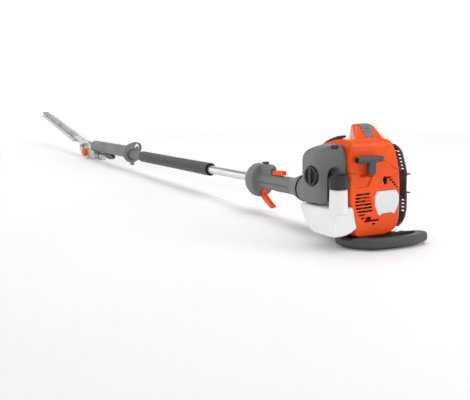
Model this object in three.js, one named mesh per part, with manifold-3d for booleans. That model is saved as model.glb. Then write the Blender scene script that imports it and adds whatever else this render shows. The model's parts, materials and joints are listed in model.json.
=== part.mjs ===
// A petrol pole hedge trimmer with a tilting cutter head, in millimetres.
// Part frame: +X runs from the starter towards the blade, +Y is the operator's left, +Z is up, and the
// origin lies on the flat sole of the impact guard, right below the rear plane of the engine.
// Almost everything is drawn in the machine's own frame, whose X axis is the crankshaft and pole axis.
// That frame is pitched down a little, so that the guard and the cutter head both touch the ground.
import * as THREE from 'three';
import { mergeVertices } from 'three/addons/utils/BufferGeometryUtils.js';
import Module from 'manifold-3d';

const wasm = await Module();
wasm.setup();

// ---------------------------------------------------------------- driving dimensions
const DEG = Math.PI / 180;
const GAP = 0.3;                      // clearance between touching parts
const FIT = 0.25;                     // radial clearance of a shaft in its hole
const ROUND = 20;                     // sides of an ordinary round part
const FINE = 6;                       // steps of a corner on the outer covers
const PITCH = 1.6 * DEG;              // the pole slopes down to the blade when the machine rests
const AXIS_HEIGHT = 100;              // crankshaft height above the ground at the rear plane

const TUBE_RADIUS = 12;               // 24 mm aluminium tube
const TUBE_WALL = 1.5;
const TUBE_START = 195;
const TUBE_END = 1711;
const SHAFT_RADIUS = 4;
const SHAFT_START = 181;
const BUSH_PLACES = [420, 920, 1420];

const INTAKE_Z = 67;                  // height of the intake port above the crankshaft
const COVER_DEPTH = 38;               // starter cover, front to rear
const SHELL = 3;                      // moulded wall thickness
const CYLINDER_X = 80;                // centre of the engine's cylinder
const CYLINDER_TILT = 10 * DEG;       // the cylinder leans towards the hot side
const CRANKCASE_FRONT = 146;
const RING_X = 213;                   // black ring between clutch cover and handle
const HANDLE_START = 218;
const HANDLE_END = 470;
const FOAM_START = 680;
const FOAM_END = 1180;
const FOAM_RADIUS = 19.3;
const HANGER_X = 1281;                // clamp plate with the hanging eye
const SLEEVE_START = 1293;
const SLEEVE_END = 1690;
const SLEEVE_RADIUS = 22.5;
const SLEEVE_LIFT = 7;                // the sleeve sits above the tube's axis

const HINGE_X = 1755;                 // tilt axis of the cutter head
const HINGE_RADIUS = 28;
const HINGE_Z = HINGE_RADIUS - (AXIS_HEIGHT - HINGE_X * Math.sin(PITCH)) / Math.cos(PITCH);
const HEAD_TILT = 11.3 * DEG;         // upward bend of the blade at rest
const KNIFE_START = 74;               // along the blade, from the tilt axis
const KNIFE_END = 697;
const TIP_START = KNIFE_END - 6;       // the guard at the blade's tip starts here
const KNIFE_PITCH = 36;
const KNIFE_STROKE = 8;
const KNIFE_THICKNESS = 2.6;
const KNIFE_Z = 10;                   // underside of the lower knife
const BAR_HALF_WIDTH = 12.5;
const TOOTH_REACH = 34;
const BLADE_BOLTS = [110, 260, 440, 620];

// ---------------------------------------------------------------- shape tools
// Turns a closed geometry into a solid that can be joined and cut.
function solid(geometry) {
  const bare = geometry.clone();
  bare.deleteAttribute('normal');
  bare.deleteAttribute('uv');
  const welded = mergeVertices(bare, 1e-4);
  const triangles = [];
  for (let i = 0; i < welded.index.count; i += 3) {
    const corner = [0, 1, 2].map((k) => welded.index.getX(i + k));
    if (new Set(corner).size === 3) triangles.push(...corner);
  }
  return new wasm.Manifold(new wasm.Mesh({
    numProp: 3,
    vertProperties: new Float32Array(welded.attributes.position.array),
    triVerts: new Uint32Array(triangles),
  }));
}

function toGeometry(body) {
  const mesh = body.getMesh();
  const geometry = new THREE.BufferGeometry();
  geometry.setAttribute('position', new THREE.BufferAttribute(mesh.vertProperties, 3));
  geometry.setIndex(new THREE.BufferAttribute(mesh.triVerts, 1));
  const flat = geometry.toNonIndexed();
  flat.computeVertexNormals();
  return flat;
}

function join(first, ...others) {
  return toGeometry(others.reduce((sum, other) => sum.add(solid(other)), solid(first)));
}

function cut(base, ...tools) {
  return toGeometry(tools.reduce((sum, tool) => sum.subtract(solid(tool)), solid(base)));
}

function common(first, ...others) {
  return toGeometry(others.reduce((sum, other) => sum.intersect(solid(other)), solid(first)));
}

// A box between two corners.
function box(x0, x1, y0, y1, z0, z1) {
  const geometry = new THREE.BoxGeometry(x1 - x0, y1 - y0, z1 - z0);
  return geometry.translate((x0 + x1) / 2, (y0 + y1) / 2, (z0 + z1) / 2);
}

// Maps a shape's plane and depth onto the part's axes, without mirroring.
const TO_X = new THREE.Matrix4().set(0, 0, 1, 0, 1, 0, 0, 0, 0, 1, 0, 0, 0, 0, 0, 1);
const TO_Y = new THREE.Matrix4().set(1, 0, 0, 0, 0, 0, -1, 0, 0, 1, 0, 0, 0, 0, 0, 1);

// An outline with rounded corners: each point is [u, v] or [u, v, radius].
function outline(points) {
  const shape = new THREE.Shape();
  const corners = points.map(([u, v]) => new THREE.Vector2(u, v));
  points.forEach(([, , radius = 0], i) => {
    const corner = corners[i];
    const before = corners.at(i - 1).clone().sub(corner);
    const after = corners[(i + 1) % corners.length].clone().sub(corner);
    const entry = corner.clone().add(before.setLength(Math.min(radius, before.length() * 0.49)));
    const exit = corner.clone().add(after.setLength(Math.min(radius, after.length() * 0.49)));
    if (i === 0) shape.moveTo(entry.x, entry.y);
    else shape.lineTo(entry.x, entry.y);
    if (radius > 0) shape.quadraticCurveTo(corner.x, corner.y, exit.x, exit.y);
  });
  shape.closePath();
  return shape;
}

// Extrudes an outline along one axis. Bevels stay inside both the outline and the two ends.
function prism(axis, points, from, to, bevel = 0, steps = 3) {
  const geometry = new THREE.ExtrudeGeometry(outline(points), {
    depth: to - from - 2 * bevel,
    bevelEnabled: bevel > 0,
    bevelThickness: bevel,
    bevelSize: bevel,
    bevelOffset: -bevel,
    bevelSegments: 2,
    curveSegments: steps,
  });
  geometry.translate(0, 0, bevel);
  if (axis === 'x') return geometry.applyMatrix4(TO_X).translate(from, 0, 0);
  if (axis === 'y') return geometry.applyMatrix4(TO_Y).translate(0, to, 0);
  return geometry.translate(0, 0, from);
}

// Revolves [distance along the axis, radius] points; the profile closes on itself or on the axis.
function turned(axis, profile, sides = ROUND) {
  const points = profile.map(([along, radius]) => new THREE.Vector2(radius, along));
  const geometry = new THREE.LatheGeometry(points, sides);
  if (axis === 'x') return geometry.rotateZ(-Math.PI / 2);
  if (axis === 'z') return geometry.rotateX(Math.PI / 2);
  return geometry;
}

function rod(axis, radius, from, to, sides = ROUND) {
  return turned(axis, [[from, 0], [from, radius], [to, radius], [to, 0]], sides);
}

function pipe(axis, outer, inner, from, to, sides = ROUND) {
  return turned(axis, [[from, inner], [from, outer], [to, outer], [to, inner], [from, inner]], sides);
}

// A toothed wheel blank along one axis, with a bore.
function gear(axis, radius, teeth, bore, from, to) {
  const points = [];
  for (let i = 0; i < teeth * 2; i += 1) {
    const angle = (i * Math.PI) / teeth;
    const reach = i % 2 === 0 ? radius : radius * 0.82;
    points.push([reach * Math.cos(angle), reach * Math.sin(angle)]);
  }
  const wheel = prism(axis, points, from, to);
  return bore > 0 ? cut(wheel, rod(axis, bore, from - 1, to + 1, 14)) : wheel;
}

function moved(geometry, x, y, z) {
  return geometry.translate(x, y, z);
}

// ---------------------------------------------------------------- finishes
function finish(color, roughness, metalness) {
  return new THREE.MeshStandardMaterial({ color, roughness, metalness });
}

const ORANGE = finish(0xf4520f, 0.3, 0);
const DARK_PLASTIC = finish(0x56585a, 0.55, 0);
const GREY_PLASTIC = finish(0x7c7d7f, 0.5, 0);
const BLACK_PLASTIC = finish(0x1b1b1d, 0.5, 0);
const RUBBER = finish(0x232325, 0.85, 0);
const FOAM = finish(0x55575a, 0.95, 0);
const TANK_WHITE = finish(0xf0f1f2, 0.35, 0);
const ALUMINIUM = finish(0xd9dbdd, 0.3, 1);
const CAST_ALUMINIUM = finish(0xb9bbbe, 0.45, 1);
const STEEL = finish(0xa9abae, 0.3, 1);
const PLATE_WHITE = finish(0xf4f6fa, 0.4, 0);
const CERAMIC = finish(0xf2f0ea, 0.25, 0);
const FELT = finish(0xc9b38a, 0.95, 0);

// ---------------------------------------------------------------- groups
const part = new THREE.Group();
const machine = new THREE.Group();
machine.position.set(0, 0, AXIS_HEIGHT);
machine.rotation.y = PITCH;
part.add(machine);

const engine = new THREE.Group();
engine.rotation.x = CYLINDER_TILT;
machine.add(engine);

const head = new THREE.Group();
head.position.set(HINGE_X, 0, HINGE_Z);
head.rotation.y = -HEAD_TILT;
machine.add(head);

function node(name, geometry, material, group = machine) {
  const mesh = new THREE.Mesh(geometry, material);
  mesh.name = name;
  group.add(mesh);
}

// ---------------------------------------------------------------- engine core
function crankcase() {
  const rear = CYLINDER_X - 22;
  const shell = join(
    rod('x', 36, rear, CRANKCASE_FRONT),
    box(CYLINDER_X - 22, CYLINDER_X + 22, -24, 24, 20, 45),
    box(84, 128, -26, 26, -56, -28),
  );
  return cut(
    shell,
    rod('x', 24.5, CYLINDER_X - 16, CYLINDER_X + 16),
    rod('x', 8 + FIT, rear - 1, CRANKCASE_FRONT + 1, 12),
    moved(rod('z', 20, 0, 46), CYLINDER_X, 0, 0),
  );
}

function crankshaft() {
  const web = 9;
  const pin = 6;
  return join(
    rod('x', 8, 28, CYLINDER_X - pin, 12),
    rod('x', 22, CYLINDER_X - pin - web, CYLINDER_X - pin),
    moved(rod('x', 5, CYLINDER_X - pin - 1, CYLINDER_X + pin + 1, 12), 0, 0, 14),
    rod('x', 22, CYLINDER_X + pin, CYLINDER_X + pin + web),
    rod('x', 8, CYLINDER_X + pin, 172, 12),
  );
}

function cylinder() {
  const finCount = 4;
  const finPitch = 9;
  const blocks = [];
  for (let i = 0; i < finCount; i += 1) {
    const z = 52 + i * finPitch;
    blocks.push(box(CYLINDER_X - 24, CYLINDER_X + 24, -35, 35, z, z + 2.6));
  }
  return cut(
    join(moved(rod('z', 21, 45 + GAP, 88, 14), CYLINDER_X, 0, 0), ...blocks),
    moved(rod('z', 17, 40, 78, 14), CYLINDER_X, 0, 0),
    moved(rod('z', 5.2, 76, 100, 12), CYLINDER_X, 0, 0),
  );
}

function piston() {
  const skirt = moved(rod('z', 16.7, 52, 75, 14), CYLINDER_X, 0, 0);
  return cut(skirt, moved(rod('z', 13.5, 51, 68, 14), CYLINDER_X, 0, 0));
}

function flywheel() {
  const vaneCount = 10;
  let wheel = join(rod('x', 46, 50, 55, 20), rod('x', 15, 33, 51, 14));
  for (let i = 0; i < vaneCount; i += 1) {
    const vane = box(36, 51, -1.4, 1.4, 20, 45);
    wheel = join(wheel, vane.rotateX((i * 2 * Math.PI) / vaneCount));
  }
  return cut(wheel, rod('x', 8 + FIT, 30, 60, 12));
}

function recoilPulley() {
  const groove = [[14, 11], [14, 28], [17, 24], [19, 24], [22, 28], [22, 11], [14, 11]];
  return turned('x', groove);
}

// The flat coil spring that winds the rope back, a spiral ribbon in its own plane.
function recoilSpring() {
  const turns = 3;
  const steps = 14 * turns;
  const inner = [];
  const outer = [];
  for (let i = 0; i <= steps; i += 1) {
    const angle = (i / steps) * turns * 2 * Math.PI;
    const radius = 12 + (i / steps) * 12;
    inner.push([radius * Math.cos(angle), radius * Math.sin(angle)]);
    outer.push([(radius + 0.9) * Math.cos(angle), (radius + 0.9) * Math.sin(angle)]);
  }
  return prism('x', [...outer, ...inner.reverse()], 6, 13);
}

function ignitionModule() {
  return join(box(38, 54, -20, 20, 51, 63), box(40, 53, -8, 8, 47.5, 52));
}

function sparkPlug() {
  const profile = [[79, 0], [79, 4.9], [88.6, 4.9], [88.6, 9], [94, 9], [94, 5], [104, 4], [104, 0]];
  return moved(turned('z', profile, 12), CYLINDER_X, 0, 0);
}

function sparkPlugBoot() {
  const profile = [[96, 5.6], [96, 8.5], [112, 8], [112, 0], [104.5, 0], [104.5, 5.6], [96, 5.6]];
  return moved(turned('z', profile, 12), CYLINDER_X, 0, 0);
}

function carburettor() {
  const body = box(CYLINDER_X - 16, CYLINDER_X + 16, 35 + GAP, 64, 52, 82);
  return cut(body, moved(rod('y', 9, 30, 70, 12), CYLINDER_X, 0, INTAKE_Z));
}

function muffler() {
  const back = CYLINDER_X - 28;
  const front = CYLINDER_X + 28;
  const can = prism('x', [[-84, -34, 10], [-46, -34, 10], [-46, 42, 10], [-84, 42, 10]], back, front, 0, 2);
  const flange = box(CYLINDER_X - 14, CYLINDER_X + 14, -48, -35 - GAP, 56, 80);
  const neck = box(CYLINDER_X - 14, CYLINDER_X + 14, -56, -44, 30, 80);
  const outlet = moved(rod('y', 7, -92, -80, 12), CYLINDER_X, 0, 14);
  return join(can, flange, neck, outlet);
}

// ---------------------------------------------------------------- orange covers
// Outline of both orange covers seen along the crankshaft, as [y, z].
const REAR_OUTLINE = [
  [50, 126, 14], [54.5, 95, 30], [53, 0, 30], [40, -50, 20], [36, -74.5, 10], [-48, -78, 14], [-75, -70, 16],
  [-87, -44, 20], [-88, 4, 30], [-80, 66, 30], [-66, 106, 12], [-54, 126, 16],
];
// The joint between the two covers: everything above it belongs to the top cover.
const SEAM = [[75, 60], [31, 57], [23, 65], [-24, 78], [-38, 79], [-78, 57], [-110, 57]];

function shrunk(points, wall) {
  const midY = -20;
  const midZ = 28;
  return points.map(([y, z, r]) => [y - Math.sign(y - midY) * wall, z - Math.sign(z - midZ) * wall, r]);
}

// The covers' common outer form, with the rear edge rounded on all sides.
function coverForm(length) {
  const side = [[0, -82, 9], [0, 129, 12], [length, 129], [length, -82]];
  const plan = [[0, -88, 9], [length, -88], [length, 54.5], [0, 54.5, 6]];
  return common(
    prism('x', REAR_OUTLINE, 0, length, 0, FINE),
    prism('y', side, -120, 80, 0, FINE),
    prism('z', plan, -100, 150, 0, FINE),
  );
}

function aboveSeam(gap) {
  const seam = SEAM.map(([y, z]) => [y, z + gap]);
  return prism('x', [...seam, [-110, 180], [70, 180]].reverse(), -5, 130);
}

// The recess in both covers that the starter handle rests in, and the wall behind it.
function handlePocket() {
  return join(
    prism('x', [[33, 92, 4], [-17, 92, 4], [-9, 48, 6], [25, 48, 6]], -1, 10),
    prism('x', [[26, 78, 3], [-10, 78, 3], [-9, 50, 3], [25, 50, 3]], -1, 19),
    prism('x', [[30, 60], [-12, 60], [4, 28, 4], [38, 28, 4]], -1, 4.5),
  );
}

function pocketWall() {
  return join(
    prism('x', [[37, 96], [-21, 96], [-13, 44], [29, 44]], 1, 13),
    prism('x', [[29, 81], [-13, 81], [-12, 47], [28, 47]], 12, 22),
    prism('x', [[33, 64], [-16, 64], [1, 25], [41, 25]], 1, 7.5),
  );
}

function starterCover() {
  const inner = prism('x', shrunk(REAR_OUTLINE, SHELL), SHELL, 90);
  const postX = 13;
  const cuts = [
    aboveSeam(0),
    handlePocket(),
    prism('x', [[11, -46.5, 5], [11, -36, 5], [-5, -36, 5], [-5, -46.5, 5]], -1, 10),
    prism('x', [[-36, 29, 7], [-36, 46, 7], [-48, 46, 7], [-48, 29, 7]], -1, 10),
    prism('x', LABEL_OUTLINE, -1, 1.2),
  ];
  const shell = join(
    cut(coverForm(COVER_DEPTH), inner),
    pocketWall(),
    rod('x', 8, 1, postX, 14),
    rod('x', 3.4, postX - 1, 27, 12),
  );
  return cut(shell, ...cuts, ...louvres(), ...steppedVents());
}

// Horizontal cooling slots that follow the round side of the starter housing.
function louvres() {
  const pitch = 7.2;
  const slots = [];
  for (let i = 0; i < 10; i += 1) {
    const z = 13 - i * pitch;
    const reach = Math.sqrt(52 * 52 - z * z);
    const besideLabel = -1 - i * 1.5;
    const besideRecess = 13;
    const belowLabel = Math.max(-12 - reach, -27);
    const right = [besideLabel, besideRecess, belowLabel][Math.floor(Math.max(i - 4, 0) / 2)];
    slots.push(box(-1, 6, right, reach - 12, z - 1.7, z + 1.7));
  }
  return slots;
}

// Level slots that step down beside the label, each shorter than the one above it.
function steppedVents() {
  const slots = [];
  for (let i = 0; i < 7; i += 1) {
    const half = 5.8 - i * 0.65;
    const slot = box(-1, 12, -half, half, -1.7, 1.7);
    slots.push(moved(slot, 0, -53 - i * 5.8, 43 - i * 5.6));
  }
  return slots;
}

// Blank name plate: an octagon with a notch in its lower edge, as [y, z].
const LABEL_OUTLINE = [
  [-20, 16.5, 3], [-74, 15.5, 3], [-82, 4.5, 3], [-83, -7.5, 4], [-80, -20.5, 3], [-70, -36.5, 3],
  [-63, -32.5, 1], [-34, -32.5, 1], [-29, -36.5, 1], [-24, -35.5, 3], [-13, -13.5, 4], [-13, 7.5, 3],
];

function labelPlate() {
  const inset = LABEL_OUTLINE.map(([y, z, r]) => [y - Math.sign(y + 48) * 0.5, z - Math.sign(z + 10) * 0.5, r]);
  return prism('x', inset, -0.6, 0.9);
}

// Side profile of the top cover as [x, z], with the hump over the spark plug as a second profile.
const TOP_PROFILE = [
  [0, 40], [0, 116, 10], [10, 127, 10], [34, 131, 10], [112, 108, 12], [122, 84, 6], [122, 40],
];
const HUMP_PROFILE = [[6, 108], [12, 126, 4], [40, 155, 8], [62, 155, 10], [88, 121, 6], [88, 100]];

function humpOuter(inset) {
  const side = prism('y', HUMP_PROFILE.map(([x, z, r]) => [x, z - inset, r]), -80, 60);
  const rear = prism('x', [
    [44 - inset, 112], [4 - inset, 157 - inset, 8], [-38 + inset, 157 - inset, 8], [-49 + inset, 112],
  ], 0 + inset, 125 - inset);
  const plan = prism('z', [[0, 41 - inset, 4], [80, -12 - inset], [95, -22], [95, -70], [0, -70]], 90, 170);
  return common(side, rear, plan);
}

function topCover() {
  const roof = prism('y', TOP_PROFILE, -110, 70);
  const body = common(coverForm(140), roof);
  const inner = common(
    prism('x', shrunk(REAR_OUTLINE, SHELL), SHELL, 140),
    prism('y', TOP_PROFILE.map(([x, z, r]) => [x + (x > 100 ? 9 : SHELL), z - SHELL, r]), -120, 80),
  );
  const hollow = cut(join(body, humpOuter(0)), inner, humpOuter(SHELL));
  const whole = join(hollow, pocketWall());
  const above = common(whole, aboveSeam(GAP));
  const behindSeam = box(COVER_DEPTH, 130, -120, 80, 0, 84);
  return cut(above, behindSeam, handlePocket(), insertShape(GAP));
}

// Ribbed grey insert let into the rear slope of the hump.
function insertShape(clearance) {
  const slab = prism('y', [
    [16 - clearance, 127 - 2 * clearance], [44, 151.6 - clearance], [60 + clearance, 152 - clearance],
    [60 + clearance, 160], [38, 160], [12 - clearance, 140],
  ], -50, 20);
  const plan = prism('z', [
    [14 - clearance, 1 + clearance], [60 + clearance, -2 + clearance], [60 + clearance, -33 - clearance],
    [40, -33 - clearance], [14 - clearance, -20 - clearance],
  ], 120, 170);
  return common(slab, plan);
}

function topInsert() {
  const skin = cut(common(insertShape(0), humpOuter(-0.8)), box(0, 80, -60, 60, 90, 124));
  const ribs = [];
  for (let i = 0; i < 5; i += 1) {
    const rib = box(-1, 1, -17 - i * 2.8, -3, -1, 1);
    ribs.push(moved(rib, 21 + i * 5, 0, 135.6 + i * 5.1));
  }
  return cut(skin, ...ribs);
}

// ---------------------------------------------------------------- recoil handle
function starterHandle() {
  const bar = moved(turned('y', [
    [-22, 0], [-22, 4], [-19, 5.5], [4, 7], [22, 7.4], [42, 7.2], [49, 7], [49, 4.6], [36, 4.6], [36, 0],
  ], 20), -13, 0, 87);
  const stem = prism('y', [[-18, 55, 3], [-8, 55, 3], [-7, 85], [-19, 85]], 1.5, 19.5);
  return join(bar, stem);
}

// ---------------------------------------------------------------- air filter
// Side outline of the air filter housing as [x, z].
const FILTER_OUTLINE = [
  [12, -6, 4], [12, 96, 14], [28, 117, 10], [62, 117, 12], [96, 100, 22], [109, 66, 16], [112, -2, 8],
  [104, -7, 6],
];

// The arch in the rear wall that leaves room for the filler neck.
function filterArch() {
  return prism('x', [
    [50, -20], [83.5, -20], [83.5, 58, 12], [79, 71, 8], [66, 71, 8], [64.5, 60, 6], [64.5, 48], [50, 48],
  ], 8, 60);
}

function filterBase() {
  const plate = prism('y', FILTER_OUTLINE, 55.2, 60 - GAP);
  const cavity = prism('y', [[66, 12], [66, 96], [88, 90], [101, 64], [102, 12]], 57, 62);
  const intake = moved(rod('y', 9, 50, 62, 12), CYLINDER_X, 0, INTAKE_Z + 10);
  return cut(plate, cavity, filterArch(), intake);
}

function filterElement() {
  const felt = prism('y', [[68, 15], [68, 92], [86, 88], [99, 62], [100, 15]], 58, 84);
  return felt;
}

const KNOB_X = 70;
const KNOB_Z = 51;

function filterCover() {
  const plan = [[13, 60], [112, 60], [112, 86, 6], [102, 100, 6], [51, 100, 12]];
  const front = [[60, -7], [60, 117], [84, 115, 10], [100, 104, 8], [100, -2, 6], [94, -7, 4]];
  const shell = common(
    prism('y', FILTER_OUTLINE, 60, 100, 0, FINE),
    prism('z', plan, -20, 120, 0, FINE),
    prism('x', front, 0, 130, 0, FINE),
  );
  const cavity = prism('y', [[64, 2], [64, 104], [87, 98], [103, 66], [104, 2]], 58, 92);
  return cut(
    shell,
    cavity,
    filterArch(),
    moved(rod('y', 21.5, 96, 110, 24), KNOB_X, 0, KNOB_Z),
    moved(rod('y', 4.3, 88, 110, 12), KNOB_X, 0, KNOB_Z),
    box(64, 82, 85.5, 90.5, -9, 3),
  );
}

function filterKnob() {
  const dial = join(pipe('y', 20.5, 16, 96.5, 103), rod('y', 17, 96.5, 99), box(-4.5, 4.5, 98, 104, -17, 17));
  const stud = rod('y', 4, 90, 97, 12);
  return moved(join(dial, stud), KNOB_X, 0, KNOB_Z);
}

function chokeLever() {
  return prism('y', [[69, -9.5, 1], [77, -9.5, 1], [75, 2], [71, 2]], 86, 90);
}

// ---------------------------------------------------------------- fuel tank
const TANK_WALL = 2.5;
const NECK_X = 2;
const NECK_Y = 83;

function tankBody(inset) {
  const side = [
    [-6 + inset, -68 + inset, 8], [40, -72 + inset, 20], [62 - inset, -68 + inset, 12],
    [88 - inset, -50 + inset, 14], [104 - inset, -24 + inset, 16], [108 - inset, -10 - inset, 4],
    [-6 + inset, -10 - inset, 6],
  ];
  const front = [
    [37 + inset, -53 + inset, 8], [64, -67 + inset, 14], [100 - inset, -71 + inset, 14],
    [100 - inset, -10 - inset, 8], [37 + inset, -10 - inset, 4],
  ];
  return common(prism('y', side, 30, 110, 0, FINE), prism('x', front, -20, 120, 0, FINE));
}

// Room that the tank leaves for the starter cover and the flywheel.
function engineRoom(clearance) {
  const cover = prism('x', shrunk(REAR_OUTLINE, -clearance), -40, COVER_DEPTH + clearance, 0, 2);
  return join(cover, rod('x', 46 + clearance, 30, 57 + clearance));
}

function fuelTank() {
  const neck = turned('z', [[-20, 0], [-20, 19.5], [30, 18], [30, 0]]);
  const mouth = rod('z', 14, -14, 34, 12);
  return cut(
    join(cut(tankBody(0), engineRoom(1)), moved(neck, NECK_X, NECK_Y, 0)),
    cut(tankBody(TANK_WALL), engineRoom(1 + TANK_WALL)),
    moved(mouth, NECK_X, NECK_Y, 0),
  );
}

function fuelCap() {
  const ribCount = 16;
  const knurl = [];
  for (let i = 0; i < ribCount; i += 1) {
    const angle = (i * 2 * Math.PI) / ribCount;
    knurl.push([20.4 * Math.cos(angle), 20.4 * Math.sin(angle)]);
    knurl.push([19.4 * Math.cos(angle + 0.2), 19.4 * Math.sin(angle + 0.2)]);
  }
  const cap = join(
    prism('z', knurl, 30 + GAP, 52),
    pipe('z', 16, 12, 51, 58, 16),
    rod('z', 13, 51, 54, 16),
    box(-3, 3, -13, 13, 52, 62),
    rod('z', 12.5, 18, 31, 16),
  );
  return moved(cap, NECK_X, NECK_Y, 0);
}

// ---------------------------------------------------------------- guards
const GUARD_BOTTOM = 5;
const GUARD_TOP = 25;
const GUARD_CENTRE = [25, -30];
// Ground outline of the guard, as [x, y]: a curved bumper at the rear with a foot reaching under the engine.
const GUARD_POINTS = [
  [56, 44], [30, 62], [-2, 54], [-38, 16], [-50, -30], [-54, -84], [-46, -126], [-27, -138], [-12, -118],
  [10, -88], [60, -66], [108, -50], [118, -18], [96, 18],
];

function guardOutline(scale) {
  const [midX, midY] = GUARD_CENTRE;
  const points = GUARD_POINTS.map(([x, y]) => new THREE.Vector3(
    midX + (x - midX) * scale,
    midY + (y - midY) * scale,
    0,
  ));
  const curve = new THREE.CatmullRomCurve3(points, true, 'centripetal');
  return curve.getSpacedPoints(40).slice(1).map(({ x, y }) => [x, y]);
}

function impactGuard() {
  const ring = prism('z', guardOutline(1), GUARD_BOTTOM, GUARD_TOP, 6);
  const well = prism('z', guardOutline(0.77), GUARD_BOTTOM + 5, GUARD_TOP + 1);
  const sole = prism('z', guardOutline(0.86), 0, GUARD_BOTTOM + 3, 1.5);
  const saddle = box(82, 120, -22, 22, 4, 35);
  const rib = box(-30, 84, -6, 6, 4, 17);
  const coverRelief = box(-4, 40, -92, 60, GUARD_TOP - 4.4, GUARD_TOP + 1);
  return join(cut(ring, well, coverRelief), sole, saddle, rib);
}

// Curved shield over the hot side, as [y, z] points of its outer face from top to bottom.
const SHIELD_CURVE = [
  [-72, 112], [-111, 109], [-131, 92], [-143, 58], [-149, 40], [-149, -21], [-149, -48], [-141, -67],
  [-124, -79],
];

function mufflerGuard() {
  const inner = SHIELD_CURVE.map(([y, z]) => [y * 0.97 + 1, z * 0.97]).reverse();
  const rounded = SHIELD_CURVE.map(([y, z]) => [y, z, 12]);
  const skin = prism('x', [...rounded, ...inner], COVER_DEPTH + 2, 122);
  const endWall = prism('x', [...rounded, [-88, -64], [-89, 100]], 118, 122);
  const cuts = [box(COVER_DEPTH, 62, -170, -147, 0, 36)];
  for (let i = 0; i < 6; i += 1) {
    cuts.push(box(COVER_DEPTH + 6, 104, -170, -108, 49 + i * 8, 52 + i * 8));
    if (i < 4) cuts.push(box(COVER_DEPTH + 6, 104, -170, -108, -22 - i * 8, -19 - i * 8));
  }
  const fins = [36, -6].map((z) => box(COVER_DEPTH + 4, 60, -161, -144, z, z + 3.4));
  const lug = box(116, 122, -92, -42.5, -16, -4);
  return join(cut(join(skin, endWall), ...cuts), ...fins, lug);
}

// ---------------------------------------------------------------- clutch
function clutchShoes() {
  const ring = cut(rod('x', 21.5, 156, 168), box(150, 170, -30, 30, -1.5, 1.5), rod('x', 15, 150, 164, 16));
  return cut(join(ring, rod('x', 12, 158, 168, 16)), rod('x', 8 + FIT, 150, 175, 16));
}

function clutchDrum() {
  const cup = join(rod('x', 25, 154, 177), rod('x', 10, 170, 188, 16));
  return cut(cup, rod('x', 22.3, 150, 174), rod('x', SHAFT_RADIUS + FIT, 170, 190, 14));
}

function clutchCover() {
  const profile = [
    [CRANKCASE_FRONT + GAP, 40], [160, 39], [182, 35], [198, 32], [RING_X - GAP, 32],
    [RING_X - GAP, TUBE_RADIUS + FIT], [192, TUBE_RADIUS + FIT], [192, 10 + FIT], [179, 10 + FIT],
    [179, 28], [CRANKCASE_FRONT + GAP, 28], [CRANKCASE_FRONT + GAP, 40],
  ];
  return turned('x', profile, 24);
}

// ---------------------------------------------------------------- pole
function mainTube() {
  return pipe('x', TUBE_RADIUS, TUBE_RADIUS - TUBE_WALL, TUBE_START, TUBE_END);
}

function driveShaft() {
  return rod('x', SHAFT_RADIUS, SHAFT_START, TUBE_END + 16, 14);
}

function shaftBush(x) {
  return pipe('x', TUBE_RADIUS - TUBE_WALL - FIT, SHAFT_RADIUS + FIT, x, x + 24, 14);
}

function poleSleeve() {
  const outer = [
    [SLEEVE_START, 0], [SLEEVE_START, SLEEVE_RADIUS - 2], [SLEEVE_START + 2, SLEEVE_RADIUS],
    [SLEEVE_END - 3, SLEEVE_RADIUS], [SLEEVE_END, SLEEVE_RADIUS - 3], [SLEEVE_END, 0],
  ];
  const hollow = rod('x', SLEEVE_RADIUS - SHELL, SLEEVE_START + 12, SLEEVE_END - 12);
  return cut(
    moved(turned('x', outer), 0, 0, SLEEVE_LIFT),
    moved(hollow, 0, 0, SLEEVE_LIFT),
    rod('x', TUBE_RADIUS + FIT, SLEEVE_START - 5, SLEEVE_END + 5),
  );
}

const CLAMP_WIDTH = 11.5;

// Split ring round the tube, with a carrying eye at the top and a tab for its screw below.
function hangerClamp() {
  const ring = prism('x', [
    [28, -18, 14], [37, 4, 14], [32, 26, 12], [10, 40, 12], [-16, 47, 12], [-38, 40, 12], [-39, 16, 12],
    [-28, 0, 10], [-27, -18, 12], [-10, -30, 10], [14, -30, 10],
  ], HANGER_X, HANGER_X + CLAMP_WIDTH);
  const tab = box(HANGER_X, HANGER_X + CLAMP_WIDTH, -6, 6, -40, -28);
  const eye = moved(rod('x', 10, HANGER_X - 5, HANGER_X + 20, 16), 0, -21, 28);
  const tongue = box(HANGER_X + 2, HANGER_X + CLAMP_WIDTH - 2, -25, -17, 15, 29.5);
  return cut(
    join(cut(join(ring, tab), eye), tongue),
    rod('x', TUBE_RADIUS + FIT, HANGER_X - 5, HANGER_X + 20),
    rod('x', 20, HANGER_X - 5, HANGER_X + 4),
    moved(rod('y', 2.9, -20, 20, 12), HANGER_X + CLAMP_WIDTH / 2, 0, -35),
  );
}

function hangerBolt() {
  const bolt = join(rod('y', 2.6, -9, 7, 12), rod('y', 4.5, 6 + GAP, 10, 6));
  return moved(bolt, HANGER_X + CLAMP_WIDTH / 2, 0, -35);
}

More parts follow.
